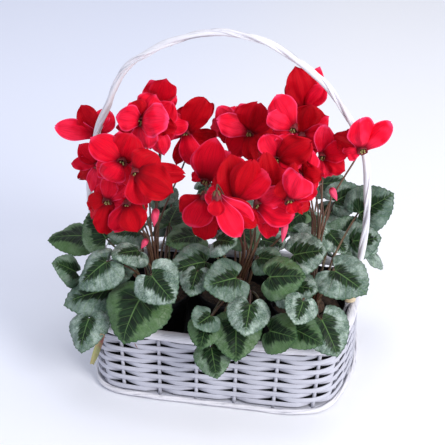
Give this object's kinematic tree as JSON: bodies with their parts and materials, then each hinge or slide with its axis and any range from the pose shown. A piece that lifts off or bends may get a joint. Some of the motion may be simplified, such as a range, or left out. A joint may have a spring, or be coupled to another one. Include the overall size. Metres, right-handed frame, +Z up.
{
  "type": "potted cyclamen in wicker basket",
  "caption": "Red cyclamens in black nursery pots, standing in a white wicker basket with a high twisted handle.",
  "frame": {"origin": "centre of the basket's flat underside, on the floor", "axes": "+Z up, +X along the basket to its right end, -Y towards its front"},
  "size_m": [0.4631, 0.3447, 0.467],
  "materials": {
    "wicker": "white paint, satin, worn",
    "cane": "bare cane",
    "liner_film": "black film",
    "pot_plastic": "black, slightly glossy",
    "soil": "crumbly, damp",
    "stalk": "reddish brown, waxy",
    "leaf": "waxy, marbled silver",
    "petal": "velvety"
  },
  "bodies": {
    "root": {"basket_frame": "wicker", "basket_weave": "wicker", "basket_rim": "wicker", "basket_foot": "wicker", "basket_handle": "wicker", "handle_binding_left": "cane", "handle_binding_right": "cane", "liner": "liner_film", "pot_left": "pot_plastic", "soil_left": "soil", "corm_left": "stalk", "foliage_left": "leaf", "pot_middle": "pot_plastic", "soil_middle": "soil", "corm_middle": "stalk", "foliage_middle": "leaf", "pot_right": "pot_plastic", "soil_right": "soil", "corm_right": "stalk", "foliage_right": "leaf", "bloom_B1": "petal", "bloom_B2": "petal", "bloom_B3": "petal", "bloom_B5": "petal", "bloom_B4": "petal", "bloom_B6": "petal", "bloom_B7": "petal", "bloom_B8": "petal", "bloom_B9": "petal", "bloom_B10": "petal", "bloom_C15": "petal", "bloom_C14": "petal", "bloom_C5": "petal", "bloom_C6": "petal", "bloom_C7": "petal", "bloom_C8": "petal", "bloom_C13": "petal", "bloom_C3": "petal", "bloom_C3b": "petal", "bloom_C1a": "petal", "bloom_C1b": "petal", "bloom_C2": "petal", "bloom_C9": "petal", "bloom_C12": "petal", "bloom_C10": "petal", "bloom_C11": "petal"}
  },
  "joints": []
}
